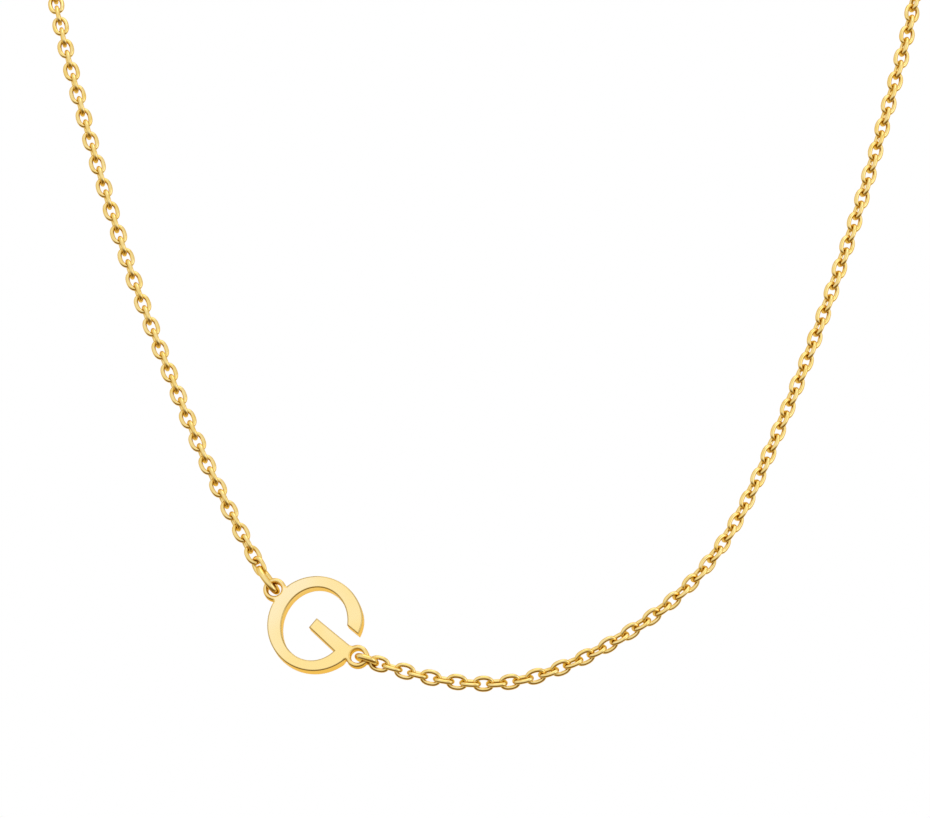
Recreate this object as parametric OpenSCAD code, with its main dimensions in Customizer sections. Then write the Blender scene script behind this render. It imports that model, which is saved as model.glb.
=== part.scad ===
// Initial necklace: a capital letter hung off centre on an oval cable chain, as worn.
// Millimetres. The origin is where the chain sits on the nape of the neck.
// +X is to the viewer's right, +Z is up, and the front of the necklace faces -Y.

/* [Letter] */
// Diameter of the letter
letter_d = 11.36; // [8:0.1:20]
// Thickness of the letter from face to back
letter_t = 1.7; // [1:0.1:3]
// Stroke of the letter at the top of its bowl
stroke_thin = 1.16; // [0.6:0.02:2]
// Stroke of the letter at the sides of its bowl
stroke_wide = 1.74; // [1:0.02:2.6]
// Lean of the oval counter to the left of upright
counter_lean = 25; // [0:1:45]
// Shift of the oval counter to the left
counter_shift = 0.1; // [0:0.02:0.4]
// Gap between the upper terminal and the bar
mouth_h = 1.64; // [0.8:0.02:3]
// Height of the bar's inner end
bar_h = 1.4; // [0.8:0.05:2.4]
// Extra height of the bar where it meets the bowl
bar_flare = 0.26; // [0:0.02:0.6]
// Height of the bar's top edge above the letter's middle
bar_top = 0.6; // [0.2:0.05:1.2]
// How far the bar starts left of the letter's middle
bar_start = 0.26; // [0:0.02:1]
// Depth of the flat that tapers the outside of the upper terminal
terminal_flat = 0.34; // [0:0.02:0.6]
// Place of that flat round the letter, up from its right side
terminal_turn = 25; // [10:1:40]
// Lean of the letter to the right of upright, as it hangs
letter_roll = 38.5; // [0:0.5:60]
// Tilt of the letter's face upward
letter_tilt = 16.5; // [0:0.5:30]
// Turn of the letter's face to the viewer's left
letter_swing = 7.5; // [0:0.5:20]

/* [Eyes of the letter] */
// Hole through each eye
eye_hole_d = 1.74; // [1.4:0.02:2.6]
// Width of each eye's rim
eye_rim = 0.5; // [0.35:0.01:0.8]
// Thickness of each eye from front to back
eye_t = 1.1; // [0.6:0.05:1.2]
// Height of the eyes above the letter's middle
eye_rise = 0.1; // [-0.2:0.05:0.3]
// Distance of the left eye's middle beyond the letter's edge
left_eye_reach = 0.82; // [0.6:0.02:1.3]
// Distance of the right eye's middle beyond the letter's edge
right_eye_reach = 0.86; // [0.6:0.02:1.3]

/* [Chain] */
// Length of a link over its ends
link_l = 2.6; // [2.3:0.02:3.6]
// Width of a link
link_w = 1.98; // [1.6:0.02:2.2]
// Wire of a link
link_wire = 0.46; // [0.3:0.01:0.5]
// Slack between linked wires
link_gap = 0.12; // [0.1:0.01:0.2]

/* [Jump rings] */
// Length of the left jump ring over its ends
left_jump_l = 3.9; // [3.4:0.1:5]
// Length of the right jump ring over its ends
right_jump_l = 3.1; // [3:0.1:4]
// Width of an oval jump ring
jump_w = 2.6; // [2.1:0.02:2.8]
// Wire of an oval jump ring
jump_wire = 0.5; // [0.35:0.01:0.55]
// Slack between a jump ring's tip and the rim of the eye
jump_play = 0.8; // [0.5:0.02:0.9]
// Turn of the left jump ring from edge on
left_jump_turn = 27; // [-30:1:30]
// Turn of the right jump ring from edge on
right_jump_turn = -27; // [-30:1:30]

/* [Clasp] */
// Diameter of the clasp's ring
clasp_d = 6; // [5:0.1:9]
// Wire of the clasp's ring
clasp_wire = 1.1; // [0.8:0.05:1.4]
// Diameter of the clasp's eye
clasp_eye_d = 2.3; // [2.1:0.05:3]
// Wire of the clasp's eye
clasp_eye_wire = 0.5; // [0.35:0.05:0.6]
// Diameter of the plain ring that the clasp holds
end_ring_d = 4.4; // [4:0.1:6]
// Wire of the plain ring
end_ring_wire = 0.6; // [0.4:0.05:0.8]

/* [Hidden] */

gold = [0.93, 0.74, 0.33];
round_fn = 48;

// Middle of the letter's front face
letter_at = [-20, -74, -109.8];
// Middle of the clasp's ring behind the nape
clasp_at = [0, 3, 0];
// Where the neck rises through the necklace, seen from above
neck_axis = [0, -32, 0];
// Height range over which the chain leaves the chest and goes round the neck
shoulder_z = [-44, -12];
// Slope of the chest that the front of the chain lies on
chest_slope = 15.5;
// Rise of the links' outward face where the chain goes round the neck
neck_flare = 16;
// How far the bar stops short of the hole in the right eye
hole_margin = 0.02;

// Route of the left chain: where its jump ring aims, and then up to the nape
LEFT_ROUTE = [
    [-30.1, -68.5, -98.6],
    [-32.6, -67, -92.5],
    [-37, -63.5, -81.7],
    [-42.1, -59, -69.3],
    [-45.5, -55.5, -58.9],
    [-49.1, -51.5, -46.9],
    [-52.2, -47.5, -35.4],
    [-54, -37.5, -24],
    [-52.5, -25, -13],
    [-44, -11.5, -5.5],
    [-29.5, -1.5, -1.5],
    [-15, 3, 0]
];
// Route of the right chain: where its jump ring aims, and then up to the nape
RIGHT_ROUTE = [
    [-6.2, -76.9, -116.5],
    [2.1, -76.5, -118.8],
    [17, -74, -111.5],
    [24.8, -71.5, -105.4],
    [30.5, -68.5, -97.8],
    [36.9, -63.5, -83],
    [41.1, -60, -72.2],
    [45.6, -55.5, -59.2],
    [48.7, -52, -48.5],
    [52.7, -47.5, -34.8],
    [54, -37.5, -24],
    [52.5, -25, -13],
    [44, -11.5, -5.5],
    [29.5, -1.5, -1.5],
    [15, 3, 0]
];

// Turn of the links as the chain lies, by share of its length from the letter to the clasp
LEFT_TURNS = [[0, -35], [0.01, -20], [0.02, -12], [0.06, -10], [0.15, -6], [0.35, -8], [0.6, 0], [1, 0]];
RIGHT_TURNS = [
    [0, -23], [0.02, -24], [0.06, -31], [0.14, -39], [0.24, -34], [0.34, -31], [0.48, -26], [0.7, 0], [1, 0],
];

letter_r = letter_d / 2;
left_eye_x = -(letter_r + left_eye_reach);
right_eye_x = letter_r + right_eye_reach;
link_pitch = link_l - 2 * link_wire - link_gap;

// Unit vector of a direction
function unit(v) = v / norm(v);
// Part of a vector square to a unit vector
function square_to(v, u) = unit(v - (v * u) * u);
// Smooth step from 0 to 1 as h goes from one height to another
function ease(h, from, to) = let(f = max(0, min(1, (h - from) / (to - from)))) f * f * (3 - 2 * f);

// Rotation matrices about the three axes
function turn_x(a) = [[1, 0, 0], [0, cos(a), -sin(a)], [0, sin(a), cos(a)]];
function turn_y(a) = [[cos(a), 0, sin(a)], [0, 1, 0], [-sin(a), 0, cos(a)]];
function turn_z(a) = [[cos(a), -sin(a), 0], [sin(a), cos(a), 0], [0, 0, 1]];

// Pose of the letter: rolled, tilted up and swung to the left
letter_pose = turn_z(-letter_swing) * turn_x(-letter_tilt) * turn_y(letter_roll);
// Place of a point given right, up and back of the middle of the letter's face
function on_letter(right, up, back) = letter_at + letter_pose * [right, back, up];
left_eye_at = on_letter(left_eye_x, eye_rise, letter_t / 2);
right_eye_at = on_letter(right_eye_x, eye_rise, letter_t / 2);

// Where the wire of a jump ring's near and far ends runs, measured from the middle of the eye
jump_near = (eye_hole_d - jump_wire) / 2 - jump_play;
left_jump_far = jump_near + left_jump_l - jump_wire;
right_jump_far = jump_near + right_jump_l - jump_wire;

// Directions in which the chain leaves each eye
left_pull = unit(LEFT_ROUTE[0] - left_eye_at);
right_pull = unit(RIGHT_ROUTE[0] - right_eye_at);

// Start of each chain, just inside the far end of its jump ring
left_start = left_eye_at + left_pull * (left_jump_far - jump_wire / 2 - link_gap);
right_start = right_eye_at + right_pull * (right_jump_far - jump_wire / 2 - link_gap);

// Clasp: its eye points right, and the end ring hangs on its left
clasp_eye_x = (clasp_d + clasp_eye_d) / 2 - clasp_eye_wire;
clasp_hold = (clasp_d - clasp_wire) / 2;
end_ring_x = clasp_hold + (end_ring_d - end_ring_wire) / 2 - (clasp_wire + end_ring_wire) / 2 - link_gap;
left_end = clasp_at - [end_ring_x + (end_ring_d - 2 * end_ring_wire) / 2 - link_gap / 2, 0, 0];
right_end = clasp_at + [clasp_eye_x + (clasp_eye_d - 2 * clasp_eye_wire) / 2 - link_gap / 2, 0, 0];

// Point of a smooth curve that starts and ends on the first and last of its points
function curve_at(p, t) =
    let(i = max(0, min(floor(t), len(p) - 4)), f = t - i, g = 1 - f)
    (g * g * g * p[i] + (3 * f * f * f - 6 * f * f + 4) * p[i + 1]
        + (3 * g * g * g - 6 * g * g + 4) * p[i + 2] + f * f * f * p[i + 3]) / 6;

// Running length of a list of points, for looking up where a length falls
function run_up(p, i = 0, s = 0, out = []) =
    i == len(p) ? out
    : let(s2 = i == 0 ? 0 : s + norm(p[i] - p[i - 1]))
    run_up(p, i + 1, s2, concat(out, [s2]));

// Joints between the links of a chain, an even number of equal steps along its route
function chain_joints(from, route, to) =
    let(
        ends = concat([from, from, from], [for (i = [1 : len(route) - 1]) route[i]], [to, to, to]),
        span = len(ends) - 3,
        fine = 24,
        times = [for (i = [0 : span * fine]) i / fine],
        runs = run_up([for (t = times) curve_at(ends, t)]),
        table = [for (i = [0 : len(times) - 1]) [runs[i], times[i]]],
        whole = runs[len(runs) - 1],
        count = 2 * round(whole / link_pitch / 2)
    )
    [for (k = [0 : count]) curve_at(ends, lookup(whole * k / count, table))];

// Outward direction that the chain's flat links face at a place
function outward(p) =
    let(
        w = ease(p.z, shoulder_z[0], shoulder_z[1]),
        chest = [0, -cos(chest_slope), sin(chest_slope)],
        neck = unit([p.x - neck_axis.x, p.y - neck_axis.y, neck_flare])
    )
    unit((1 - w) * chest + w * neck);

left_joints = chain_joints(left_start, LEFT_ROUTE, left_end);
right_joints = chain_joints(right_start, RIGHT_ROUTE, right_end);

// Long loop of round wire in the XY plane, with round ends and its length along X
module long_ring(over_l, over_w, wire) {
    straight = over_l - over_w;
    end_r = (over_w - wire) / 2;
    for (half = [0, 180])
        rotate(half) {
            translate([straight / 2, 0, 0])
                rotate(-90)
                    rotate_extrude(angle = 180, $fn = round_fn)
                        translate([end_r, 0])
                            circle(d = wire, $fn = round_fn);
            translate([-straight / 2, end_r, 0])
                rotate([0, 90, 0])
                    cylinder(h = straight, d = wire, $fn = round_fn);
        }
}

// Round ring of round wire in the XY plane
module round_ring(over_d, wire) {
    rotate_extrude($fn = round_fn)
        translate([(over_d - wire) / 2, 0])
            circle(d = wire, $fn = round_fn);
}

// Puts a loop at a place, with its length along one direction and its face turned from another
module lay_loop(at, along, facing, turned) {
    x = unit(along);
    n = square_to(facing, x);
    s = cross(n, x);
    z = cos(turned) * n + sin(turned) * s;
    y = cross(z, x);
    multmatrix([
        [x[0], y[0], z[0], at[0]],
        [x[1], y[1], z[1], at[1]],
        [x[2], y[2], z[2], at[2]],
        [0, 0, 0, 1]
    ])
        children();
}

// Links along a chain, each a quarter turn from the last on top of the turn that the chain lies with
module chain(joints, first_turn, turns) {
    steps = len(joints) - 1;
    for (k = [0 : steps - 1]) {
        middle = (joints[k] + joints[k + 1]) / 2;
        turned = first_turn + 90 * (k % 2) + lookup(k / (steps - 1), turns);
        lay_loop(middle, joints[k + 1] - joints[k], outward(middle), turned)
            long_ring(link_l, link_w, link_wire);
    }
}

// Outline of the letter in its own upright frame
module letter_outline() {
    difference() {
        circle(r = letter_r, $fn = 180);
        translate([-counter_shift, 0])
            rotate(counter_lean)
                scale([(letter_r - stroke_wide) / (letter_r - stroke_thin), 1])
                    circle(r = letter_r - stroke_thin, $fn = 180);
        translate([0, bar_top])
            square([letter_d, mouth_h]);
        rotate(terminal_turn)
            translate([letter_r - terminal_flat, -letter_r])
                square([letter_r, letter_d]);
    }
}

// Bar of the letter, from its start to inside the right eye's rim
module bar_outline() {
    reach = right_eye_x - eye_hole_d / 2 - hole_margin;
    polygon([
        [-bar_start, bar_top],
        [-bar_start, bar_top - bar_h],
        [letter_r - stroke_wide, bar_top - bar_h - bar_flare],
        [reach, bar_top - bar_h - bar_flare],
        [reach, bar_top]
    ]);
}

// Eye with a rounded rim, standing in the XY plane
module eye() {
    soft = eye_rim * 0.4;
    rotate_extrude($fn = round_fn)
        translate([eye_hole_d / 2, -eye_t / 2])
            union() {
                translate([soft, 0])
                    square([eye_rim - 2 * soft, eye_t]);
                translate([0, soft])
                    square([eye_rim, eye_t - 2 * soft]);
                for (x = [soft, eye_rim - soft], y = [soft, eye_t - soft])
                    translate([x, y])
                        circle(r = soft, $fn = round_fn);
            }
}

module letter() {
    color(gold)
        translate(letter_at)
            rotate([-letter_tilt, 0, -letter_swing])
                rotate([0, letter_roll, 0])
                    rotate([90, 0, 0])
                        translate([0, 0, -letter_t]) {
                            linear_extrude(letter_t) {
                                letter_outline();
                                bar_outline();
                            }
                            for (x = [left_eye_x, right_eye_x])
                                translate([x, eye_rise, letter_t / 2])
                                    eye();
                        }
}

// Jump ring from an eye of the letter toward the aim of its chain
module jump_ring(over_l, eye_at, pull, turned) {
    lay_loop(eye_at + pull * (jump_near + (over_l - jump_wire) / 2), pull, outward(eye_at), 90 + turned)
        long_ring(over_l, jump_w, jump_wire);
}

module left_jump_ring() {
    color(gold)
        jump_ring(left_jump_l, left_eye_at, left_pull, left_jump_turn);
}

module right_jump_ring() {
    color(gold)
        jump_ring(right_jump_l, right_eye_at, right_pull, right_jump_turn);
}

module left_chain() {
    color(gold)
        chain(left_joints, 90, LEFT_TURNS);
}

module right_chain() {
    color(gold)
        chain(right_joints, 0, RIGHT_TURNS);
}

module clasp() {
    color(gold)
        lay_loop(clasp_at, [1, 0, 0], outward(clasp_at), 0) {
            round_ring(clasp_d, clasp_wire);
            translate([clasp_eye_x, 0, 0])
                round_ring(clasp_eye_d, clasp_eye_wire);
        }
}

module end_ring() {
    color(gold)
        lay_loop(clasp_at - [end_ring_x, 0, 0], [1, 0, 0], outward(clasp_at), 90)
            round_ring(end_ring_d, end_ring_wire);
}

letter();
left_jump_ring();
right_jump_ring();
left_chain();
right_chain();
clasp();
end_ring();
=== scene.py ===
"""Looks of the initial necklace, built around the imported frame.

The letter, its eyes, the jump rings, the links and the clasp are modelled again as fine
meshes in the places that the part gives them, and dressed in polished yellow gold.
"""

import logging
import math
from dataclasses import dataclass, field
from enum import Enum
from typing import Callable, ClassVar

import bpy
import numpy as np
from mathutils import Matrix, Vector
from mathutils.geometry import tessellate_polygon


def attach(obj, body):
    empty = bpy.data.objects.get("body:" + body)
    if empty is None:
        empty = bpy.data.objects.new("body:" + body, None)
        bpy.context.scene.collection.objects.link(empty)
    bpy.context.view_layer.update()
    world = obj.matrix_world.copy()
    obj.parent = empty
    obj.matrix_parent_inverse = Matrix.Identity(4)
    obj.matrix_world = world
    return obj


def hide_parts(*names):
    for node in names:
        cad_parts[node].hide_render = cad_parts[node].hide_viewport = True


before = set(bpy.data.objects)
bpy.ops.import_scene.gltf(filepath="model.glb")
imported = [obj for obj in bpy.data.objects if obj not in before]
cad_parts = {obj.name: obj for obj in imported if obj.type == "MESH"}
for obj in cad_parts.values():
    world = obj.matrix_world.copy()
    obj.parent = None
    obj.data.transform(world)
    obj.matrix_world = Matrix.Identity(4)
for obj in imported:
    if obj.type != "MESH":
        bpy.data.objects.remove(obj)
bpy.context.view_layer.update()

LOG = logging.getLogger("necklace")
MM = 0.001

Array = np.ndarray
Piece = bpy.types.Object
Tree = bpy.types.NodeTree
Socket = bpy.types.NodeSocket
Rgb = tuple[float, float, float]
Pair = tuple[float, float]
Point = tuple[float, float, float]


class Side(Enum):
    """Side of the necklace, as the viewer sees it."""

    LEFT = "left"
    RIGHT = "right"


def unit(v: Array) -> Array:
    """Returns the vector at length one."""
    return v / np.linalg.norm(v)


def turned_about(axis: str, degrees: float) -> Array:
    """Returns the 3 by 3 matrix of a turn about x, y or z by the right-hand rule."""
    return np.array(Matrix.Rotation(math.radians(degrees), 3, axis.upper()))


def bend(start: Array, corner: Array, end: Array, steps: int) -> Array:
    """Returns points of the curve from start to end that leans to a corner, without its ends."""
    f = np.linspace(0, 1, steps)[1:-1, None]
    return (1 - f) ** 2 * start + 2 * f * (1 - f) * corner + f * f * end


def add_object(name: str, data: bpy.types.ID) -> Piece:
    """Puts a mesh, a lamp or a camera into the scene.

    Args:
        name: Name of the object.
        data: What it shows.

    Returns:
        The new object.
    """
    thing = bpy.data.objects.new(name, data)
    bpy.context.scene.collection.objects.link(thing)
    return thing


def eased(height: float, low: float, high: float) -> float:
    """Returns a share that steps smoothly from 0 at the low value to 1 at the high one."""
    f = min(1.0, max(0.0, (height - low) / (high - low)))
    return f * f * (3 - 2 * f)


@dataclass(frozen=True)
class Body:
    """The wearer's chest and neck, which the chain lies on, in millimetres and degrees."""

    chest_slope: float = 15.5
    neck_axis: Point = (0.0, -32.0, 0.0)
    neck_flare: float = 16.0
    shoulder: Pair = (-44.0, -12.0)

    def outward(self, place: Array) -> Array:
        """Gives the direction that flat links face.

        Args:
            place: Where on the chain, in millimetres.

        Returns:
            A unit vector away from the skin.
        """
        share = eased(place[2], *self.shoulder)
        slope = math.radians(self.chest_slope)
        chest = np.array([0.0, -math.cos(slope), math.sin(slope)])
        right, back, _ = place - np.array(self.neck_axis)
        neck = unit(np.array([right, back, self.neck_flare]))
        return unit((1 - share) * chest + share * neck)


BODY = Body()


@dataclass(frozen=True)
class Seat:
    """Place and turn of a flat loop: x along its length, z square to its face."""

    at: Array
    x: Array
    y: Array
    z: Array

    @classmethod
    def lay(cls, at: Array, along: Array, facing: Array, turned: float) -> "Seat":
        """Lays a loop down.

        Args:
            at: Its middle in millimetres.
            along: Direction of its length.
            facing: Direction that its face looks in before it is turned.
            turned: Turn about its length, in degrees.

        Returns:
            The seat of the loop.
        """
        x = unit(along)
        n = unit(facing - (facing @ x) * x)
        s = np.cross(n, x)
        z = math.cos(math.radians(turned)) * n + math.sin(math.radians(turned)) * s
        return cls(at, x, np.cross(z, x), z)

    def world(self, points: Array) -> Array:
        """Returns points of the loop's own frame in the row's frame, as rows of x, y, z."""
        return self.at + points @ np.stack([self.x, self.y, self.z])


@dataclass
class MeshMaker:
    """Collects rings and sheets of vertices and makes one mesh of them."""

    name: str
    points: list[Array] = field(default_factory=list)
    faces: list[Array] = field(default_factory=list)
    count: int = 0

    def add(self, points: Array, faces: Array) -> None:
        """Adds vertices and the quads between them.

        Args:
            points: Rows of x, y, z in millimetres.
            faces: Rows of four indices into those points.
        """
        self.points.append(points)
        self.faces.append(faces + self.count)
        self.count += len(points)

    def tube(self, line: Array, wire: float, sides: int, seat: Seat) -> None:
        """Adds a closed tube round a flat closed line.

        Args:
            line: Rows of x, y along the line, in the loop's own frame.
            wire: Diameter of the wire.
            sides: Sides of the wire.
            seat: Where the loop lies.
        """
        ahead = np.roll(line, -1, axis=0) - np.roll(line, 1, axis=0)
        ahead /= np.linalg.norm(ahead, axis=1)[:, None]
        out = np.c_[ahead[:, 1], -ahead[:, 0]]
        a = np.linspace(0, 2 * math.pi, sides, endpoint=False)
        flat = line[:, None, :] + wire / 2 * np.cos(a)[None, :, None] * out[:, None, :]
        rise = np.broadcast_to(wire / 2 * np.sin(a), flat.shape[:2])
        points = np.concatenate([flat, rise[:, :, None]], axis=2).reshape(-1, 3)
        self.add(seat.world(points), self.grid(len(line), sides))

    @staticmethod
    def grid(rings: int, sides: int) -> Array:
        """Gives the quads of a closed grid.

        Args:
            rings: Number of rings, which join up end to end.
            sides: Points on each ring.

        Returns:
            Rows of four indices.
        """
        i, j = np.meshgrid(np.arange(rings), np.arange(sides), indexing="ij")
        i2, j2 = (i + 1) % rings, (j + 1) % sides
        corners = [i * sides + j, i2 * sides + j, i2 * sides + j2, i * sides + j2]
        return np.stack(corners, -1).reshape(-1, 4)

    def build(self, finish: "GoldFinish") -> Piece:
        """Makes the object.

        Args:
            finish: What it is dressed in.

        Returns:
            The new object, in metres.
        """
        mesh = bpy.data.meshes.new(self.name)
        points, faces = np.concatenate(self.points) * MM, np.concatenate(self.faces)
        mesh.from_pydata(points.tolist(), [], faces.tolist())
        mesh.validate()
        mesh.polygons.foreach_set("use_smooth", [True] * len(mesh.polygons))
        mesh.materials.append(finish.material())
        return add_object(self.name, mesh)


def maths(tree: Tree, operation: str, *values: Socket | float) -> bpy.types.Node:
    """Adds a Math node.

    Args:
        tree: Node tree that it goes into.
        operation: What it does.
        values: What its inputs take, each an output to link or a plain number.

    Returns:
        The new node.
    """
    node = tree.nodes.new("ShaderNodeMath")
    node.operation = operation
    for socket, value in zip(node.inputs, values):
        if isinstance(value, Socket):
            tree.links.new(value, socket)
        else:
            socket.default_value = value
    return node


class PolishMarks:
    """Shader group for gold: cloudy sheen and fine hairlines that polishing leaves, an optional painted
    light slope, and the mask for painted shade in recesses.
    """

    NAME = "polish_marks"
    INPUTS = {
        "Cloud Scale": 300.0,
        "Hairline Scale": 900.0,
        "Roughness": 0.2,
        "Spread": 0.05,
        "Recess Reach": 0.0005,
        "Painted Light Offset": 0.0,
    }
    OUTPUTS = ("Tone And Painted Light", "Roughness", "Height", "Painted Shade")
    CLOUD_DETAIL = 3.0
    HAIRLINE_DETAIL = 2.0
    HAIRLINE_TURN = (0.3, 0.5, 0.7)
    HAIRLINE_STRETCH = (0.12, 1.0, 1.0)
    RECESS_SAMPLES = 8
    OPEN_SHARE = 0.75
    CLOSED_SHARE = 0.2

    @classmethod
    def tree(cls) -> Tree:
        """Returns the group, built the first time that it is asked for."""
        return bpy.data.node_groups.get(cls.NAME) or cls._build()

    @classmethod
    def _build(cls) -> Tree:
        """Builds the group and returns it."""
        tree = bpy.data.node_groups.new(cls.NAME, "ShaderNodeTree")
        cls._add_sockets(tree)
        add, link = tree.nodes.new, tree.links.new
        entry, leave, where = add("NodeGroupInput"), add("NodeGroupOutput"), add("ShaderNodeTexCoord")
        place = where.outputs["Object"]
        stretch = add("ShaderNodeMapping")
        stretch.inputs["Rotation"].default_value = cls.HAIRLINE_TURN
        stretch.inputs["Scale"].default_value = cls.HAIRLINE_STRETCH
        link(place, stretch.inputs["Vector"])
        cloud = cls._noise(tree, place, entry.outputs["Cloud Scale"], cls.CLOUD_DETAIL)
        hair_scale = entry.outputs["Hairline Scale"]
        hair = cls._noise(tree, stretch.outputs["Vector"], hair_scale, cls.HAIRLINE_DETAIL)
        both = maths(tree, "ADD", cloud, hair)
        centred = maths(tree, "SUBTRACT", both.outputs[0], 1.0)
        spread, average = entry.outputs["Spread"], entry.outputs["Roughness"]
        rough = maths(tree, "MULTIPLY_ADD", centred.outputs[0], spread, average)
        rough.use_clamp = True
        # Painted light: a brightness slope along a direction in the piece's own coordinates, added to the
        # random cloud tone.
        painted_light_slope = add("ShaderNodeVectorMath")
        painted_light_slope.operation = "DOT_PRODUCT"
        link(place, painted_light_slope.inputs[0])
        link(entry.outputs["Fade"], painted_light_slope.inputs[1])
        painted_light = maths(tree, "ADD", painted_light_slope.outputs["Value"], entry.outputs["Painted Light Offset"])
        tone_and_painted_light = maths(tree, "ADD", painted_light.outputs[0], cloud)
        link(tone_and_painted_light.outputs[0], leave.inputs["Tone And Painted Light"])
        link(rough.outputs[0], leave.inputs["Roughness"])
        link(hair, leave.inputs["Height"])
        link(cls._recess_shade_mask(tree, entry.outputs["Recess Reach"]), leave.inputs["Painted Shade"])
        return tree

    @classmethod
    def _add_sockets(cls, tree: Tree) -> None:
        """Gives the group its inputs and outputs.

        Args:
            tree: The group.
        """
        face = tree.interface
        for label, default in cls.INPUTS.items():
            face.new_socket(label, in_out="INPUT", socket_type="NodeSocketFloat").default_value = default
        face.new_socket("Fade", in_out="INPUT", socket_type="NodeSocketVector")
        for label in cls.OUTPUTS:
            face.new_socket(label, in_out="OUTPUT", socket_type="NodeSocketFloat")

    @staticmethod
    def _noise(tree: Tree, place: Socket, scale: Socket, detail: float) -> Socket:
        """Adds a noise.

        Args:
            tree: The group.
            place: Output with the coordinates.
            scale: Output with its scale.
            detail: How fine it goes.

        Returns:
            Its output.
        """
        noise = tree.nodes.new("ShaderNodeTexNoise")
        noise.inputs["Detail"].default_value = detail
        tree.links.new(place, noise.inputs["Vector"])
        tree.links.new(scale, noise.inputs["Scale"])
        return noise.outputs["Fac"]

    @classmethod
    def _recess_shade_mask(cls, tree: Tree, reach: Socket) -> Socket:
        """Adds the mask of places that other metal closes in, where shade is painted into the colour.

        Args:
            tree: The group.
            reach: Output with how near the other metal has to be.

        Returns:
            The mask, 1 where it is closed in.
        """
        near = tree.nodes.new("ShaderNodeAmbientOcclusion")
        near.samples = cls.RECESS_SAMPLES
        closed = tree.nodes.new("ShaderNodeMapRange")
        closed.inputs["From Min"].default_value = cls.OPEN_SHARE
        closed.inputs["From Max"].default_value = cls.CLOSED_SHARE
        tree.links.new(reach, near.inputs["Distance"])
        tree.links.new(near.outputs["AO"], closed.inputs["Value"])
        return closed.outputs["Result"]


@dataclass(frozen=True)
class GoldFinish:
    """A polished yellow gold: colours, gloss, the marks of polishing, painted shade in recesses and a
    painted light slope.

    Its reach is in millimetres, and its scales and its painted light slope are per metre.
    """

    name: str
    bright: Rgb
    deep: Rgb
    edge: Rgb
    # colour of the painted shade in recesses
    recess_shade: Rgb
    reach: float
    roughness: float
    spread: float
    cloud_scale: float
    hairline_scale: float
    bump: float
    # painted light slope: the tone grows paler along this direction
    painted_light_slope: Point = (0.0, 0.0, 0.0)
    painted_light_offset: float = 0.0

    DEEP_UP_TO: ClassVar[float] = 0.3
    BRIGHT_FROM: ClassVar[float] = 0.6
    BUMP_DEPTH: ClassVar[float] = 0.00002

    def material(self) -> bpy.types.Material:
        """Returns the material, built the first time that it is asked for."""
        return bpy.data.materials.get(self.name) or self._build()

    def _marks(self, tree: Tree) -> bpy.types.Node:
        """Adds the marks of polishing.

        Args:
            tree: The material's nodes.

        Returns:
            The group's node, with this finish's values.
        """
        marks = tree.nodes.new("ShaderNodeGroup")
        marks.node_tree = PolishMarks.tree()
        marks.inputs["Cloud Scale"].default_value = self.cloud_scale
        marks.inputs["Hairline Scale"].default_value = self.hairline_scale
        marks.inputs["Roughness"].default_value = self.roughness
        marks.inputs["Spread"].default_value = self.spread
        marks.inputs["Recess Reach"].default_value = self.reach * MM
        marks.inputs["Fade"].default_value = self.painted_light_slope
        marks.inputs["Painted Light Offset"].default_value = self.painted_light_offset
        return marks

    def _build(self) -> bpy.types.Material:
        """Builds the material and returns it."""
        made = bpy.data.materials.new(self.name)
        made.use_nodes = True
        tree = made.node_tree
        add, link = tree.nodes.new, tree.links.new
        shader = tree.nodes["Principled BSDF"]
        shader.inputs["Metallic"].default_value = 1.0
        shader.inputs["Specular Tint"].default_value = (*self.edge, 1.0)
        marks = self._marks(tree)
        tone_and_painted_light = add("ShaderNodeMix")
        tone_and_painted_light.data_type = "RGBA"
        tone_and_painted_light.inputs["A"].default_value = (*self.deep, 1.0)
        tone_and_painted_light.inputs["B"].default_value = (*self.bright, 1.0)
        # Painted shade: the colour darkens towards the recess shade colour where other metal closes in.
        painted_shade_mix = add("ShaderNodeMix")
        painted_shade_mix.data_type = "RGBA"
        painted_shade_mix.inputs["B"].default_value = (*self.recess_shade, 1.0)
        ramp = add("ShaderNodeMapRange")
        ramp.inputs["From Min"].default_value = self.DEEP_UP_TO
        ramp.inputs["From Max"].default_value = self.BRIGHT_FROM
        bump = add("ShaderNodeBump")
        bump.inputs["Strength"].default_value = self.bump
        bump.inputs["Distance"].default_value = self.BUMP_DEPTH
        link(marks.outputs["Tone And Painted Light"], ramp.inputs["Value"])
        link(ramp.outputs["Result"], tone_and_painted_light.inputs["Factor"])
        link(marks.outputs["Painted Shade"], painted_shade_mix.inputs["Factor"])
        link(tone_and_painted_light.outputs["Result"], painted_shade_mix.inputs["A"])
        link(painted_shade_mix.outputs["Result"], shader.inputs["Base Color"])
        link(marks.outputs["Roughness"], shader.inputs["Roughness"])
        link(marks.outputs["Height"], bump.inputs["Height"])
        link(bump.outputs["Normal"], shader.inputs["Normal"])
        return made


# Paler, whiter copy of the gold for the letter's face, back and walls: part of its paleness is painted
# highlight, the white reflection of the light on the polished face.
LETTER_GOLD_AND_HIGHLIGHT = GoldFinish(
    name="letter_gold_with_painted_highlight",
    bright=(0.97, 0.8, 0.48),
    deep=(0.97, 0.74, 0.31),
    edge=(1.0, 0.8, 0.42),
    recess_shade=(0.55, 0.38, 0.12),
    reach=0.5,
    roughness=0.14,
    spread=0.05,
    cloud_scale=90.0,
    hairline_scale=420.0,
    bump=0.003,
    # painted light: the face grows paler towards the upper left
    painted_light_slope=(-41.7, 0.0, 41.7),
    painted_light_offset=3.6,
)
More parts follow.
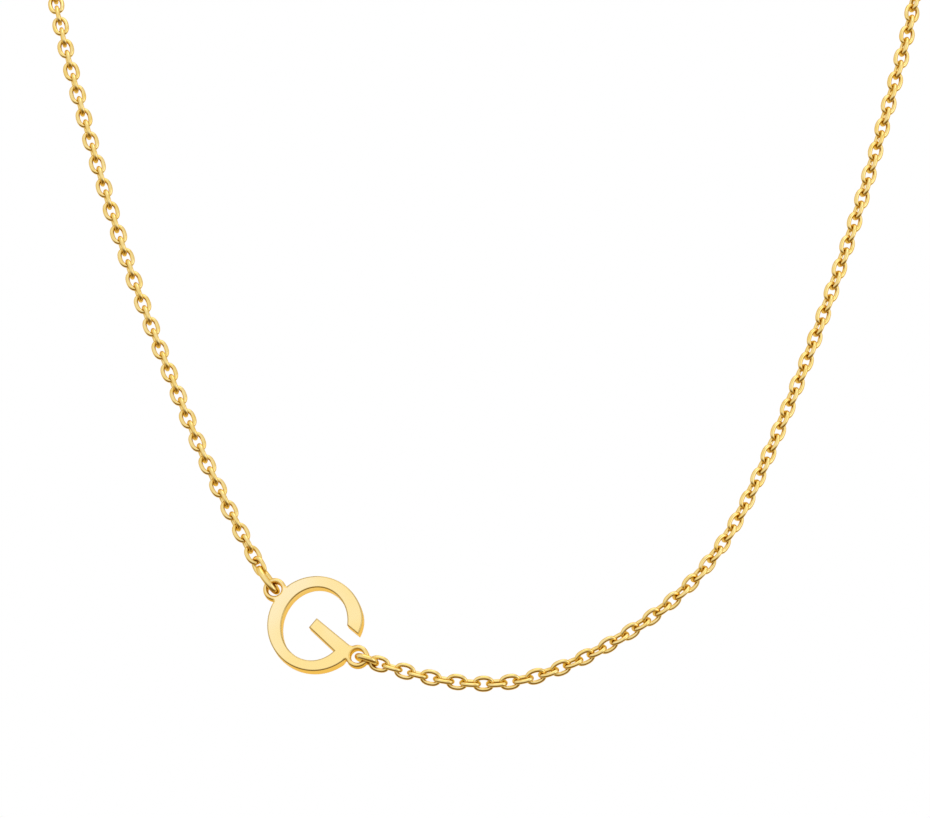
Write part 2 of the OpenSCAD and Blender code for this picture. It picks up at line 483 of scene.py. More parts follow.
# Darker copy of the letter's gold on its rounded edges: painted shade along the edges.
SHADED_EDGE_GOLD = GoldFinish(
    name="edge_gold_painted_shade",
    bright=(0.65, 0.49, 0.2),
    deep=(0.56, 0.41, 0.14),
    edge=(0.74, 0.53, 0.2),
    recess_shade=(0.42, 0.28, 0.08),
    reach=0.5,
    roughness=0.16,
    spread=0.05,
    cloud_scale=300.0,
    hairline_scale=900.0,
    bump=0.01,
)
EYE_GOLD = GoldFinish(
    name="eye_gold",
    bright=(0.86, 0.63, 0.23),
    deep=(0.82, 0.57, 0.17),
    edge=(0.9, 0.66, 0.26),
    recess_shade=(0.5, 0.33, 0.08),
    reach=0.45,
    roughness=0.16,
    spread=0.05,
    cloud_scale=500.0,
    hairline_scale=1200.0,
    bump=0.01,
)
WIRE_GOLD = GoldFinish(
    name="wire_gold",
    bright=(0.88, 0.68, 0.29),
    deep=(0.85, 0.61, 0.18),
    edge=(0.95, 0.72, 0.25),
    recess_shade=(0.62, 0.42, 0.1),
    reach=0.45,
    roughness=0.12,
    spread=0.06,
    cloud_scale=900.0,
    hairline_scale=1600.0,
    bump=0.02,
)


class Zone(Enum):
    """Stretch of the letter's surface with a gold of its own: the paler gold with painted highlight on the
    face, back and walls, the darker gold with painted shade on the rounded edges, and the eye gold on the
    eyes.
    """

    PLATE = LETTER_GOLD_AND_HIGHLIGHT
    EDGE = SHADED_EDGE_GOLD
    EYE = EYE_GOLD

    @property
    def index(self) -> int:
        """Number of its material on the letter."""
        return list(Zone).index(self)


@dataclass(frozen=True)
class Oval:
    """Flat closed line of an oval link between an ellipse and a rounded rectangle, in millimetres."""

    length: float
    width: float
    wire: float
    squareness: float = 2.3

    FINE_STEPS: ClassVar[int] = 720

    def line(self, count: int) -> Array:
        """Samples the middle of the wire.

        Args:
            count: Number of points.

        Returns:
            Rows of x, y, evenly spread.
        """
        a = np.linspace(0, 2 * math.pi, self.FINE_STEPS, endpoint=False)
        c, s = np.cos(a), np.sin(a)
        half_l, half_w = (self.length - self.wire) / 2, (self.width - self.wire) / 2
        power = 2 / self.squareness
        x, y = half_l * np.sign(c) * np.abs(c) ** power, half_w * np.sign(s) * np.abs(s) ** power
        closed = np.c_[np.r_[x, x[:1]], np.r_[y, y[:1]]]
        run = np.r_[0, np.cumsum(np.linalg.norm(np.diff(closed, axis=0), axis=1))]
        at = np.linspace(0, run[-1], count, endpoint=False)
        return np.c_[np.interp(at, run, closed[:, 0]), np.interp(at, run, closed[:, 1])]


@dataclass(frozen=True)
class RimRings:
    """Rows of vertices where a rounded edge meets the front and the back of the plate."""

    front: list[int]
    back: list[int]


@dataclass(frozen=True)
class EyeBack:
    """Stretch of the letter's back edge that goes round an eye, and the seam that closes it off."""

    first: int
    length: int
    seam: list[int]


@dataclass(frozen=True)
class Letter:
    """The capital letter: a plate with an oval counter, a bar and an eye on each side, in millimetres."""

    # Place and turn
    middle: Point = (-20.0, -74.0, -109.8)
    roll: float = 38.5
    tilt: float = 16.5
    swing: float = 7.5
    hang_depth: float = 0.85  # how far behind the face the rings hang
    # Plate
    radius: float = 5.7
    thickness: float = 1.85
    stretch: float = 0.016  # how much taller than wide it is, as it hangs
    stretch_shift: float = 0.06  # how far that lowers it
    # Counter
    stroke_thin: float = 1.3
    stroke_wide: float = 1.8
    counter_lean: float = 25.0  # degrees that the oval leans
    counter_shift: Pair = (-0.03, -0.09)
    # Bar
    bar: float = 1.4  # height at its free end
    bar_flare: float = 0.26  # how much higher it is where it meets the bowl
    bar_top: float = 0.6
    bar_start: float = 0.26  # how far left of the middle it starts
    bar_inset: float = 0.03  # how far inside the bowl's edge it ends
    bar_meets: float = 4.5  # degrees above level where the bowl ends
    # Upper terminal
    mouth: float = 1.64  # gap between bar and terminal
    terminal_flat: float = 0.34  # how far its flat cuts into the bowl
    terminal_turn: float = 25.0  # degrees that the flat leans
    terminal_ease: float = 8.0  # degrees in which the flat becomes round
    # Rounded edge
    edge_round: float = 0.15
    corner_turn: float = 15.0  # degrees from which a bend is a corner
    corner_clear: float = 2.2  # how many radii beside it have no points
    edge_step: float = 0.16  # longest step between points
    sharp_angle: float = 22.0  # degrees from which shading breaks
    # Eyes
    eye_hole: float = 1.62
    eye_rim: float = 0.56
    eye_depth: float = 1.25
    eye_soft: float = 0.25  # radius that their edges are rounded by
    eye_blend: float = 0.4  # distance in which they become the plate
    eye_rise: float = 0.1  # how far above the middle they stand
    left_reach: float = 0.8  # from the bowl's edge to the eye's middle
    right_reach: float = 0.84
    fillet: float = 0.36  # size of the soft corner beside an eye
    seam_push: float = 0.45  # how far the seam at the back bows

    BOWL_STEPS: ClassVar[int] = 230
    EASE_STEPS: ClassVar[int] = 12
    EYE_STEPS: ClassVar[int] = 72
    BEND_STEPS: ClassVar[int] = 9
    ROUND_STEPS: ClassVar[int] = 5
    HALVINGS: ClassVar[int] = 40
    BAR_SEARCH: ClassVar[Pair] = (-80.0, 10.0)
    CUT_SEARCH: ClassVar[Pair] = (-25.0, 50.0)

    @property
    def eye_middles(self) -> tuple[Array, Array]:
        """Middles of the left and the right eye, right and up of the letter's middle."""
        return (
            np.array([-(self.radius + self.left_reach), self.eye_rise]),
            np.array([self.radius + self.right_reach, self.eye_rise]),
        )

    @property
    def eye_reach(self) -> float:
        """Radius of an eye over its rim."""
        return self.eye_hole / 2 + self.eye_rim

    @property
    def cut(self) -> float:
        """Height of the level cut at the upper terminal."""
        return self.bar_top + self.mouth

    @property
    def bar_low(self) -> float:
        """Height of the bar's lower edge at its free end."""
        return self.bar_top - self.bar

    @property
    def pose(self) -> Array:
        """Rotation of the letter as it hangs."""
        swung, tilted = turned_about("z", -self.swing), turned_about("x", -self.tilt)
        return swung @ tilted @ turned_about("y", self.roll)

    def place(self, right: float, up: float, back: float) -> Array:
        """Returns the point of the row's frame right of, above and behind the middle of the face."""
        return np.array(self.middle) + self.pose @ np.array([right, back, up])

    def eye(self, side: Side) -> Array:
        """Returns where an eye holds its jump ring, in the row's frame."""
        x, up = self.eye_middles[0 if side is Side.LEFT else 1]
        return self.place(x, up, self.hang_depth)

    def bowl_edge(self) -> Array:
        """Follows the outer edge of the bowl from the upper terminal round to the bar.

        Returns:
            Rows of right and up of the letter's middle, anticlockwise.
        """
        r = self.radius
        flat = r - self.terminal_flat
        turn = math.radians(self.terminal_turn)
        tip = np.array([(flat - self.cut * math.sin(turn)) / math.cos(turn), self.cut])
        begin = turn + math.acos(flat / r) + math.radians(self.terminal_ease)
        end = 2 * math.pi + math.radians(self.bar_meets)
        first_on = r * np.array([math.cos(begin), math.sin(begin)])
        ahead = np.array([math.sin(begin), -math.cos(begin)]) * np.linalg.norm(first_on - tip) / 2
        eased_on = bend(tip, first_on + ahead, first_on, self.EASE_STEPS)
        a = np.linspace(begin, end, self.BOWL_STEPS)
        return np.r_[[tip], eased_on, r * np.c_[np.cos(a), np.sin(a)]]

    def counter(self, angle: float) -> Pair:
        """Finds a point of the counter.

        Args:
            angle: Angle round its oval, in radians.

        Returns:
            The point right and up of the letter's middle.
        """
        lean = math.radians(self.counter_lean)
        x = (self.radius - self.stroke_wide) * math.cos(angle)
        y = (self.radius - self.stroke_thin) * math.sin(angle)
        return (
            x * math.cos(lean) - y * math.sin(lean) + self.counter_shift[0],
            x * math.sin(lean) + y * math.cos(lean) + self.counter_shift[1],
        )

    def over_bar(self, angle: float) -> float:
        """Tells how high a point of the counter lies over the lower edge of the bar.

        Args:
            angle: Angle round the counter's oval, in radians.

        Returns:
            The height, below zero under the bar.
        """
        x, y = self.counter(angle)
        share = (x + self.bar_start) / (self.radius - self.stroke_wide + self.bar_start)
        return y - (self.bar_low - self.bar_flare * share)

    def over_cut(self, angle: float) -> float:
        """Returns how high the point of the counter at an angle lies over the cut of the terminal."""
        return self.counter(angle)[1] - self.cut

    def crossing(self, height: Callable[[float], float], search: Pair) -> float:
        """Finds where the counter crosses a line, by halving.

        Args:
            height: Gives the height over the line for an angle in radians.
            search: Angles on either side of the crossing, in degrees.

        Returns:
            The angle in radians.
        """
        near, far = (math.radians(a) for a in search)
        for _ in range(self.HALVINGS):
            half = (near + far) / 2
            if (height(near) > 0) == (height(half) > 0):
                near = half
            else:
                far = half
        return near

    def outline(self) -> Array:
        """Walks round the edge of the letter, which is a little taller than wide as it hangs.

        Returns:
            Rows of right and up of its middle, anticlockwise.
        """
        bar_edge = [
            (self.radius - self.bar_inset, self.bar_top),
            (-self.bar_start, self.bar_top),
            (-self.bar_start, self.bar_low),
        ]
        first = self.crossing(self.over_bar, self.BAR_SEARCH)
        last = self.crossing(self.over_cut, self.CUT_SEARCH)
        inner = [self.counter(a) for a in np.linspace(first, last - 2 * math.pi, self.BOWL_STEPS)]
        points = np.r_[self.bowl_edge(), bar_edge, inner]
        down = np.array([math.sin(math.radians(self.roll)), -math.cos(math.radians(self.roll))])
        points += (self.stretch * (points @ down) + self.stretch_shift)[:, None] * down
        return points

    def eye_share(self, points: Array) -> Array:
        """Tells how far points of an edge belong to an eye.

        Args:
            points: Rows of right and up.

        Returns:
            Shares from 0 on the plate to 1 on the edge of an eye.
        """
        away = np.min([np.linalg.norm(points - middle, axis=1) for middle in self.eye_middles], axis=0)
        share = np.clip((self.eye_reach + self.eye_blend - away) / self.eye_blend, 0, 1)
        return share * share * (3 - 2 * share)

    def round_eye(self, edge: Array, middle: Array) -> Array:
        """Leads the outline round an eye, with small fillets where it leaves the plate.

        Args:
            edge: Rows of right and up, anticlockwise.
            middle: Middle of the eye.

        Returns:
            The new outline.
        """
        inside = np.linalg.norm(edge - middle, axis=1) < self.eye_reach
        first = int(np.flatnonzero(inside & ~np.roll(inside, 1))[0])
        edge, inside = np.roll(edge, -first, axis=0), np.roll(inside, -first)
        count = int(inside.sum())
        begin = math.atan2(*(edge[0] - middle)[::-1])
        span = (math.atan2(*(edge[count - 1] - middle)[::-1]) - begin) % (2 * math.pi)
        a = np.linspace(begin, begin + span, self.EYE_STEPS)
        arc = middle + self.eye_reach * np.c_[np.cos(a), np.sin(a)]
        rest = edge[count:]
        for corner, order in ((arc[-1], 1), (arc[0], -1)):
            ring, plate = arc[::order], rest[::order]
            ring = ring[np.linalg.norm(ring - corner, axis=1) > self.fillet]
            near = np.linalg.norm(plate - corner, axis=1) > self.fillet
            plate = plate[int(np.argmax(near)):]
            fillet = bend(ring[-1], corner, plate[0], self.BEND_STEPS)
            arc, rest = np.r_[ring, fillet][::order], plate[::order]
        return np.r_[arc, rest]

    def whole_outline(self) -> Array:
        """Gives the edge of the plate with its eyes, ready to be drawn in by its rounding.

        Returns:
            Rows of right and up, anticlockwise, with no points that crowd a sharp corner.
        """
        edge = self.outline()
        dense = []
        for here, there in zip(edge, np.roll(edge, -1, axis=0)):
            parts = max(1, math.ceil(np.linalg.norm(there - here) / self.edge_step))
            dense += [here + (there - here) * k / parts for k in range(parts)]
        edge = np.array(dense)
        for middle in self.eye_middles:
            edge = self.round_eye(edge, middle)
        ahead = np.roll(edge, -1, axis=0) - edge
        ahead /= np.linalg.norm(ahead, axis=1)[:, None]
        before = np.roll(ahead, 1, axis=0)
        corner = (before * ahead).sum(axis=1) < math.cos(math.radians(self.corner_turn))
        away = np.linalg.norm(edge[:, None] - edge[corner][None], axis=2).min(axis=1)
        return edge[corner | (away > self.corner_clear * self.edge_round)]

    def eye_back(
        self, sheet: "Sheet", edge: Array, outer: RimRings, middle: Array, hole: RimRings
    ) -> EyeBack:
        """Closes an eye at the back, which is less deep than the plate.

        Args:
            sheet: Mesh that it goes into.
            edge: Rows of right and up along the letter's outline.
            outer: The outline's rounded edge.
            middle: Middle of the eye.
            hole: The rounded edge of its hole.

        Returns:
            What the back of the plate leaves out.
        """
        mine = (self.eye_share(edge) > 0) & (np.linalg.norm(edge - middle, axis=1) < 2 * self.eye_reach)
        first = int(np.flatnonzero(mine & ~np.roll(mine, 1))[0]) - 1
        length = int(mine.sum()) + 1
        run = [outer.back[(first + k) % len(edge)] for k in range(length + 1)]
        seam = sheet.seam(self, middle, run[0], run[-1])
        sheet.fill([run + seam[::-1], hole.back], from_behind=True)
        return EyeBack(first % len(edge), length, seam)

    def build(self) -> Piece:
        """Makes the letter as one closed mesh, hangs it and dresses it.

        Returns:
            The letter.
        """
        sheet = Sheet()
        edge = self.whole_outline()
        outer = sheet.rim(self, edge)
        a = np.linspace(0, -2 * math.pi, self.EYE_STEPS, endpoint=False)
        circle = self.eye_hole / 2 * np.c_[np.cos(a), np.sin(a)]
        holes = [sheet.rim(self, middle + circle) for middle in self.eye_middles]
        sheet.fill([outer.front, *(hole.front for hole in holes)], from_behind=False)
        left, right = (
            self.eye_back(sheet, edge, outer, middle, hole) for middle, hole in zip(self.eye_middles, holes)
        )
        plate_back, count = [], len(edge)
        at = (left.first + left.length) % count
        for eye in (right, left):
            while at != eye.first:
                plate_back.append(outer.back[at])
                at = (at + 1) % count
            plate_back += [outer.back[eye.first], *eye.seam]
            at = (eye.first + eye.length) % count
        sheet.fill([plate_back], from_behind=True)
        return sheet.build(self, "initial_letter")


@dataclass
class Sheet:
    """Closed mesh of a plate: rounded rims and the faces that they bound, in millimetres."""

    points: list[Point] = field(default_factory=list)
    faces: list[list[int]] = field(default_factory=list)
    zones: list[int] = field(default_factory=list)
    smooth: list[bool] = field(default_factory=list)

    def rim(self, letter: Letter, line: Array) -> RimRings:
        """Adds a closed edge, rounded over at the front and at the back.

        Args:
            letter: The letter that it belongs to.
            line: Rows of right and up, with the metal on the left.

        Returns:
            Its front and back rows of vertices.
        """
        ahead = np.roll(line, -1, axis=0) - line
        ahead /= np.linalg.norm(ahead, axis=1)[:, None]
        inward = np.c_[-ahead[:, 1], ahead[:, 0]]
        earlier = np.roll(inward, 1, axis=0)
        mitre = (inward + earlier) / (1 + (inward * earlier).sum(axis=1))[:, None]
        share = letter.eye_share(line)
        rounding = letter.edge_round + share * (letter.eye_soft - letter.edge_round)
        depth = letter.thickness + share * (letter.eye_depth - letter.thickness)
        turns = [math.pi / 2 * k / letter.ROUND_STEPS for k in range(letter.ROUND_STEPS + 1)]
        rings = [(1 - math.sin(a), 0.0, 1 - math.cos(a)) for a in turns]
        rings += [(inset, 1.0, -drop) for inset, _, drop in reversed(rings)]
        base, count = len(self.points), len(line)
        for inset, whole, drop in rings:
            flat = line + (inset * rounding)[:, None] * mitre
            self.points += np.c_[flat[:, 0], whole * depth + drop * rounding, flat[:, 1]].tolist()
        for k in range(len(rings) - 1):
            # Rounded bands take the darker edge gold, which is painted shade; the straight wall takes the
            # letter's gold.
            band = Zone.PLATE if k == letter.ROUND_STEPS else Zone.EDGE
            for i in range(count):
                i2 = (i + 1) % count
                here, there = base + k * count, base + (k + 1) * count
                self.faces.append([here + i, there + i, there + i2, here + i2])
                self.zones.append((Zone.EYE if share[i] > 0.5 else band).index)
                self.smooth.append(True)
        last = base + (len(rings) - 1) * count
        return RimRings(list(range(base, base + count)), list(range(last, last + count)))

    def seam(self, letter: Letter, middle: Array, begin: int, end: int) -> list[int]:
        """Adds a row of vertices across the back of the plate, beside an eye.

        Args:
            letter: The letter that it belongs to.
            middle: Middle of the eye.
            begin: Vertex of the back row where it starts.
            end: Vertex of the back row where it ends.

        Returns:
            The new vertices, from the start to the end.
        """
        a, b = (np.array([self.points[n][0], self.points[n][2]]) for n in (begin, end))
        push = letter.seam_push * unit((a + b) / 2 - middle)
        made = []
        for f in np.linspace(0, 1, letter.BEND_STEPS)[1:-1]:
            at = (1 - f) * a + f * b + 4 * f * (1 - f) * push
            made.append(len(self.points))
            self.points.append([at[0], letter.thickness, at[1]])
        return made

    def fill(self, loops: list[list[int]], from_behind: bool) -> None:
        """Fills the space between closed rows of vertices.

        Args:
            loops: The outer row and any holes in it.
            from_behind: Whether the face looks backwards.
        """
        flat = [[Vector((self.points[n][0], self.points[n][2], 0.0)) for n in loop] for loop in loops]
        numbers = [n for loop in loops for n in loop]
        for triangle in tessellate_polygon(flat):
            a, b, c = (numbers[n] for n in triangle)
            (ax, _, az), (bx, _, bz), (cx, _, cz) = (self.points[n] for n in (a, b, c))
            forward = (bx - ax) * (cz - az) - (bz - az) * (cx - ax) > 0
            self.faces.append([a, b, c] if forward != from_behind else [a, c, b])
            self.zones.append(Zone.PLATE.index)
            self.smooth.append(False)

    def build(self, letter: Letter, name: str) -> Piece:
        """Makes the object, hung as the letter hangs.

        Args:
            letter: The letter that it belongs to.
            name: Name of the object.

        Returns:
            The new object, in metres.
        """
        mesh = bpy.data.meshes.new(name)
        mesh.from_pydata(self.points, [], self.faces)
        for zone in Zone:
            mesh.materials.append(zone.value.material())
        mesh.polygons.foreach_set("material_index", self.zones)
        hang = Matrix(letter.pose.tolist()).to_4x4()
        hang.translation = Vector(letter.middle)
        mesh.transform(Matrix.Scale(MM, 4) @ hang)
        mesh.set_sharp_from_angle(angle=math.radians(letter.sharp_angle))
        mesh.polygons.foreach_set("use_smooth", self.smooth)
        return add_object(name, mesh)


@dataclass(frozen=True)
class JumpRing:
    """Oval ring between an eye of the letter and the chain, in millimetres."""

    side: Side
    length: float
    aim: Point
    turned: float
    near: float
    width: float = 2.97
    wire: float = 0.74
    squareness: float = 2.5
    slack: float = 0.02

    LINE_STEPS: ClassVar[int] = 96
    WIRE_SIDES: ClassVar[int] = 28

    def pull(self, letter: Letter) -> Array:
        """Returns the direction in which the chain leaves the eye."""
        return unit(np.array(self.aim) - letter.eye(self.side))

    def chain_start(self, letter: Letter) -> Array:
        """Returns where the chain starts, in the row's frame."""
        far = self.near + self.length - self.wire
        return letter.eye(self.side) + self.pull(letter) * (far - self.wire / 2 - self.slack)

    def build(self, letter: Letter) -> Piece:
        """Makes the ring.

        Args:
            letter: The letter that it hangs on.

        Returns:
            The ring.
        """
        eye, pull = letter.eye(self.side), self.pull(letter)
        forward = letter.pose @ np.array([0.0, letter.eye_depth / 2 - letter.hang_depth, 0.0])
        middle = eye + forward + pull * (self.near + (self.length - self.wire) / 2)
        seat = Seat.lay(middle, pull, BODY.outward(eye), 90 + self.turned)
        maker = MeshMaker(f"{self.side.value}_oval_ring")
        oval = Oval(self.length, self.width, self.wire, self.squareness)
        maker.tube(oval.line(self.LINE_STEPS), self.wire, self.WIRE_SIDES, seat)
        return maker.build(WIRE_GOLD)


@dataclass(frozen=True)
class Clasp:
    """Plain ring with an eye that stands in for the hidden clasp, and the ring that it holds."""

    middle: Point = (0.0, 3.0, 0.0)
    over: float = 5.99
    wire: float = 1.1
    eye_over: float = 2.3
    eye_wire: float = 0.5
    end_over: float = 4.39
    end_wire: float = 0.6
    slack: float = 0.12

    LINE_STEPS: ClassVar[int] = 120
    WIRE_SIDES: ClassVar[int] = 32

    @property
    def eye_x(self) -> float:
        """How far right of the clasp's middle its eye stands."""
        return (self.over + self.eye_over) / 2 - self.eye_wire

    @property
    def end_x(self) -> float:
        """How far left of the clasp's middle the end ring hangs."""
        hold = (self.over - self.wire) / 2
        return hold + (self.end_over - self.end_wire) / 2 - (self.wire + self.end_wire) / 2 - self.slack

    def chain_end(self, side: Side) -> Array:
        """Finds where a chain ends.

        Args:
            side: Which chain.

        Returns:
            The point in the row's frame.
        """
        if side is Side.LEFT:
            x = -(self.end_x + (self.end_over - 2 * self.end_wire) / 2 - self.slack / 2)
        else:
            x = self.eye_x + (self.eye_over - 2 * self.eye_wire) / 2 - self.slack / 2
        return np.array(self.middle) + np.array([x, 0.0, 0.0])

    def _round(self, maker: MeshMaker, over: float, wire: float, x: float, turned: float) -> None:
        """Adds a round ring.

        Args:
            maker: Mesh that it goes into.
            over: Diameter over all.
            wire: Diameter of its wire.
            x: How far right of the clasp's middle it lies.
            turned: Turn about its length, in degrees.
        """
        middle = np.array(self.middle)
        along = np.array([1.0, 0.0, 0.0])
        seat = Seat.lay(middle + x * along, along, BODY.outward(middle), turned)
        a = np.linspace(0, 2 * math.pi, self.LINE_STEPS, endpoint=False)
        maker.tube(np.c_[np.cos(a), np.sin(a)] * (over - wire) / 2, wire, self.WIRE_SIDES, seat)

    def build_clasp(self) -> Piece:
        """Makes the clasp with its eye and returns it."""
        maker = MeshMaker("clasp_ring")
        self._round(maker, self.over, self.wire, 0.0, 0.0)
        self._round(maker, self.eye_over, self.eye_wire, self.eye_x, 0.0)
        return maker.build(WIRE_GOLD)

    def build_end_ring(self) -> Piece:
        """Makes the ring that the clasp holds and returns it."""
        maker = MeshMaker("plain_end_ring")
        self._round(maker, self.end_over, self.end_wire, -self.end_x, 90.0)
        return maker.build(WIRE_GOLD)


@dataclass(frozen=True)
class Chain:
    """One side of the cable chain, from its jump ring to the nape, in millimetres."""

    side: Side
    route: tuple[Point, ...]
    turns: tuple[Pair, ...]
    first_turn: float
    link: Oval = Oval(length=2.6, width=1.98, wire=0.52)
    pitch: float = 1.56

    ROUTE_STEPS: ClassVar[int] = 24
    LINE_STEPS: ClassVar[int] = 42
    WIRE_SIDES: ClassVar[int] = 16

    def joints(self, start: Array, end: Array) -> Array:
        """Finds where the links join, at equal steps along the route.

        Args:
            start: Where the chain starts.
            end: Where the chain ends.

        Returns:
            Rows of x, y, z.
        """
        ends = np.array([start] * 3 + [np.array(p) for p in self.route] + [end] * 3)
        stretches = len(ends) - 3
        times = np.linspace(0, stretches, stretches * self.ROUTE_STEPS + 1)
        line = np.array([self._curve(ends, t) for t in times])
        run = np.r_[0, np.cumsum(np.linalg.norm(np.diff(line, axis=0), axis=1))]
        count = 2 * round(run[-1] / self.pitch / 2)
        at = np.interp(np.linspace(0, run[-1], count + 1), run, times)
        return np.array([self._curve(ends, t) for t in at])

    @staticmethod
    def _curve(p: Array, t: float) -> Array:
        """Gives a point of the smooth route.

        Args:
            p: Points that lead it.
            t: Running number of the stretch, with its share.

        Returns:
            The point.
        """
        i = max(0, min(int(math.floor(t)), len(p) - 4))
        f = t - i
        g = 1 - f
        return (
            g**3 * p[i]
            + (3 * f**3 - 6 * f**2 + 4) * p[i + 1]
            + (3 * g**3 - 6 * g**2 + 4) * p[i + 2]
            + f**3 * p[i + 3]
        ) / 6

    def build(self, start: Array, end: Array) -> Piece:
        """Makes all the links of the chain as one piece.

        Args:
            start: Where the chain starts.
            end: Where the chain ends.

        Returns:
            The chain.
        """
        joints = self.joints(start, end)
        maker = MeshMaker(f"{self.side.value}_cable_chain")
        line = self.link.line(self.LINE_STEPS)
        steps = len(joints) - 1
        shares, angles = zip(*self.turns)
        for k in range(steps):
            middle = (joints[k] + joints[k + 1]) / 2
            turned = self.first_turn + 90 * (k % 2) + np.interp(k / (steps - 1), shares, angles)
            seat = Seat.lay(middle, joints[k + 1] - joints[k], BODY.outward(middle), turned)
            maker.tube(line, self.link.wire, self.WIRE_SIDES, seat)
        return maker.build(WIRE_GOLD)


@dataclass(frozen=True)
class SoftLight:
    """A soft box: where it stands, how large and how bright it is, in metres."""

    name: str
    at: Point
    size: Pair
    radiance: float

    def build(self, aim: Vector) -> None:
        """Sets the light up.

        Args:
            aim: Where it points.
        """
        lamp = bpy.data.lights.new(self.name, "AREA")
        lamp.shape = "RECTANGLE"
        lamp.size, lamp.size_y = self.size
        lamp.energy = self.radiance * math.pi * self.size[0] * self.size[1]
        thing = add_object(self.name, lamp)
        thing.location = self.at
        thing.rotation_mode = "QUATERNION"
        thing.rotation_quaternion = (aim - Vector(self.at)).to_track_quat("-Z", "Y")
        thing.visible_camera = False


@dataclass(frozen=True)
class Studio:
    """Camera, pale floor, soft lights and a plain white surround, in metres."""

    # Camera
    eye: Point = (-0.0023, -0.976, -0.0846)
    focal: float = 296.1
    sensor: float = 36.0
    clip: Pair = (0.05, 20.0)
    # Lights
    aim: Point = (-0.01, -0.07, -0.09)
    lights: tuple[SoftLight, ...] = (
        SoftLight("key", at=(-0.24, -0.72, 0.34), size=(1.3, 1.1), radiance=0.15),
        SoftLight("side", at=(0.75, -0.45, 0.1), size=(0.35, 0.7), radiance=0.9),
        SoftLight("over", at=(0.1, -0.1, 0.7), size=(0.8, 0.5), radiance=0.8),
    )
    # Floor
    floor_z: float = -0.3
    floor_half: float = 0.9
    floor_back: float = 0.7
    floor_tone: Rgb = (0.88, 0.88, 0.87)
    floor_roughness: float = 0.7
    # What the gold mirrors, and the directions between which it changes
    front: Rgb = (0.9, 0.9, 0.9)
    behind: Rgb = (0.93, 0.8, 0.5)
    below: Rgb = (0.24, 0.14, 0.035)
    going_back: Pair = (-0.1, 0.5)
    going_up: Pair = (-0.55, 0.0)

    def build(self) -> None:
        """Sets up everything that isn't the necklace."""
        self._camera()
        self._floor()
        self._surround()
        for light in self.lights:
            light.build(Vector(self.aim))

    def _camera(self) -> None:
        """Stands the camera where the photograph was taken from."""
        lens = bpy.data.cameras.new("camera")
        lens.sensor_width = self.sensor
        lens.lens = self.focal
        lens.clip_start, lens.clip_end = self.clip
        thing = add_object("camera", lens)
        thing.location = self.eye
        thing.rotation_euler = (math.radians(90), 0.0, 0.0)
        bpy.context.scene.camera = thing

    def _floor(self) -> None:
        """Lays the plain pale floor."""
        half, back = self.floor_half, self.floor_back
        corners = [(-half, -half, 0), (half, -half, 0), (half, back, 0), (-half, back, 0)]
        mesh = bpy.data.meshes.new("floor")
        mesh.from_pydata(corners, [], [(0, 1, 2, 3)])
        floor = add_object("floor", mesh)
        floor.location.z = self.floor_z
        matt = bpy.data.materials.new("pale_floor")
        matt.use_nodes = True
        shader = matt.node_tree.nodes["Principled BSDF"]
        shader.inputs["Base Color"].default_value = (*self.floor_tone, 1.0)
        shader.inputs["Roughness"].default_value = self.floor_roughness
        mesh.materials.append(matt)
        floor.visible_glossy = False

    def _mirrored(self, tree: Tree) -> Socket:
        """Adds the colours that the gold mirrors: pale in front, dark below and warm behind.

        Args:
            tree: The surround's nodes.

        Returns:
            The colour for each direction.
        """
        add, link = tree.nodes.new, tree.links.new
        where, split = add("ShaderNodeTexCoord"), add("ShaderNodeSeparateXYZ")
        link(where.outputs["Generated"], split.inputs[0])
        height, depth = add("ShaderNodeMapRange"), add("ShaderNodeMapRange")
        for node, socket, ends in ((depth, "Y", self.going_back), (height, "Z", self.going_up)):
            node.interpolation_type = "SMOOTHSTEP"
            link(split.outputs[socket], node.inputs["Value"])
            node.inputs["From Min"].default_value, node.inputs["From Max"].default_value = ends
        rising, receding = add("ShaderNodeMix"), add("ShaderNodeMix")
        rising.data_type = receding.data_type = "RGBA"
        rising.inputs["A"].default_value = (*self.below, 1.0)
        rising.inputs["B"].default_value = (*self.front, 1.0)
        receding.inputs["B"].default_value = (*self.behind, 1.0)
        link(height.outputs[0], rising.inputs["Factor"])
        link(depth.outputs[0], receding.inputs["Factor"])
        link(rising.outputs["Result"], receding.inputs["A"])
        return receding.outputs["Result"]

    def _surround(self) -> None:
        """Makes the surround: white to look at, with its own colours for the gold to mirror."""
        world = bpy.data.worlds.new("surround")
        world.use_nodes = True
        tree = world.node_tree
        tree.nodes.clear()
        add, link = tree.nodes.new, tree.links.new
        mirrored, seen = add("ShaderNodeBackground"), add("ShaderNodeBackground")
        link(self._mirrored(tree), mirrored.inputs["Color"])
        seen.inputs["Color"].default_value = (1.0, 1.0, 1.0, 1.0)
        rays, either = add("ShaderNodeLightPath"), add("ShaderNodeMixShader")
        link(rays.outputs["Is Camera Ray"], either.inputs[0])
        link(mirrored.outputs[0], either.inputs[1])
        link(seen.outputs[0], either.inputs[2])
        link(either.outputs[0], add("ShaderNodeOutputWorld").inputs["Surface"])
        bpy.context.scene.world = world
        bpy.context.scene.view_settings.view_transform = "Standard"


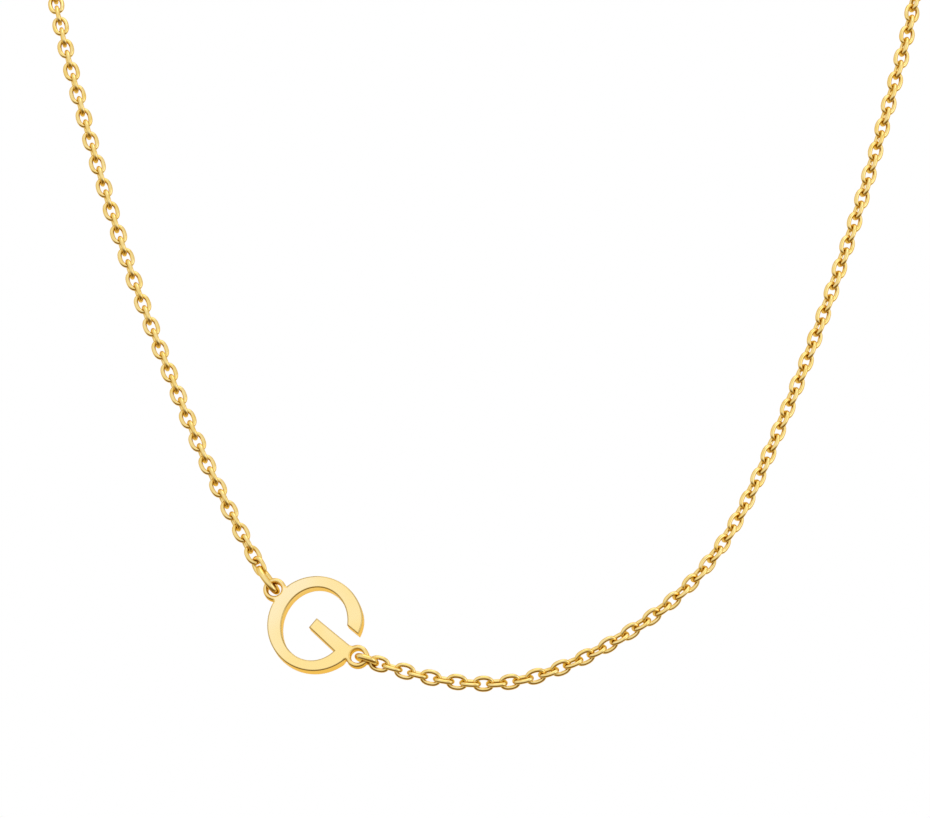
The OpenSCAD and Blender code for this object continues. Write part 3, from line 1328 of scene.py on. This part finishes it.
LEFT_JUMP = JumpRing(Side.LEFT, length=4.16, aim=(-30.1, -68.5, -98.6), turned=18.0, near=-0.18)
RIGHT_JUMP = JumpRing(Side.RIGHT, length=2.99, aim=(-6.2, -76.9, -116.5), turned=-3.0, near=0.03)
LEFT_CHAIN = Chain(
    Side.LEFT,
    route=(
        (-32.6, -67.0, -92.5),
        (-37.0, -63.5, -81.7),
        (-42.1, -59.0, -69.3),
        (-45.5, -55.5, -58.9),
        (-49.1, -51.5, -46.9),
        (-52.2, -47.5, -35.4),
        (-54.0, -37.5, -24.0),
        (-52.5, -25.0, -13.0),
        (-44.0, -11.5, -5.5),
        (-29.5, -1.5, -1.5),
        (-15.0, 3.0, 0.0),
    ),
    turns=((0, -40), (0.01, -20), (0.02, -12), (0.06, -10), (0.15, -6), (0.35, -8), (0.6, 0), (1, 0)),
    first_turn=90.0,
)
RIGHT_CHAIN = Chain(
    Side.RIGHT,
    route=(
        (2.1, -76.5, -118.8),
        (17.0, -74.0, -111.5),
        (24.8, -71.5, -105.4),
        (30.5, -68.5, -97.8),
        (36.9, -63.5, -83.0),
        (41.1, -60.0, -72.2),
        (45.6, -55.5, -59.2),
        (48.7, -52.0, -48.5),
        (52.7, -47.5, -34.8),
        (54.0, -37.5, -24.0),
        (52.5, -25.0, -13.0),
        (44.0, -11.5, -5.5),
        (29.5, -1.5, -1.5),
        (15.0, 3.0, 0.0),
    ),
    turns=(
        (0, -23), (0.02, -24), (0.06, -31), (0.14, -39), (0.24, -34),
        (0.34, -31), (0.48, -26), (0.7, 0), (1, 0),
    ),
    first_turn=0.0,
)


@dataclass
class Necklace:
    """The whole necklace: letter, jump rings, chains and clasp."""

    letter: Letter = field(default_factory=Letter)
    clasp: Clasp = field(default_factory=Clasp)

    def hand_over(self, piece: Piece, node: str) -> None:
        """Puts a piece in the place of its node.

        Args:
            piece: The new piece.
            node: The node that it stands for.
        """
        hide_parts(node)
        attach(piece, "root")
        LOG.info("%s stands for %s, %d faces", piece.name, node, len(piece.data.polygons))

    def build(self) -> None:
        """Builds and hands over each piece."""
        self.hand_over(self.letter.build(), "letter")
        for jump, chain in ((LEFT_JUMP, LEFT_CHAIN), (RIGHT_JUMP, RIGHT_CHAIN)):
            side = jump.side
            self.hand_over(jump.build(self.letter), f"{side.value}_jump_ring")
            start = jump.chain_start(self.letter)
            links = chain.build(start, self.clasp.chain_end(side))
            self.hand_over(links, f"{side.value}_chain")
        self.hand_over(self.clasp.build_clasp(), "clasp")
        self.hand_over(self.clasp.build_end_ring(), "end_ring")


def keep_sizes() -> None:
    """Updates the view layer."""
    bpy.context.view_layer.update()


def main() -> None:
    """Builds the necklace and its studio."""
    logging.basicConfig(level=logging.INFO, format="%(name)s: %(message)s")
    Necklace().build()
    Studio().build()
    keep_sizes()


if __name__ == "__main__":
    main()
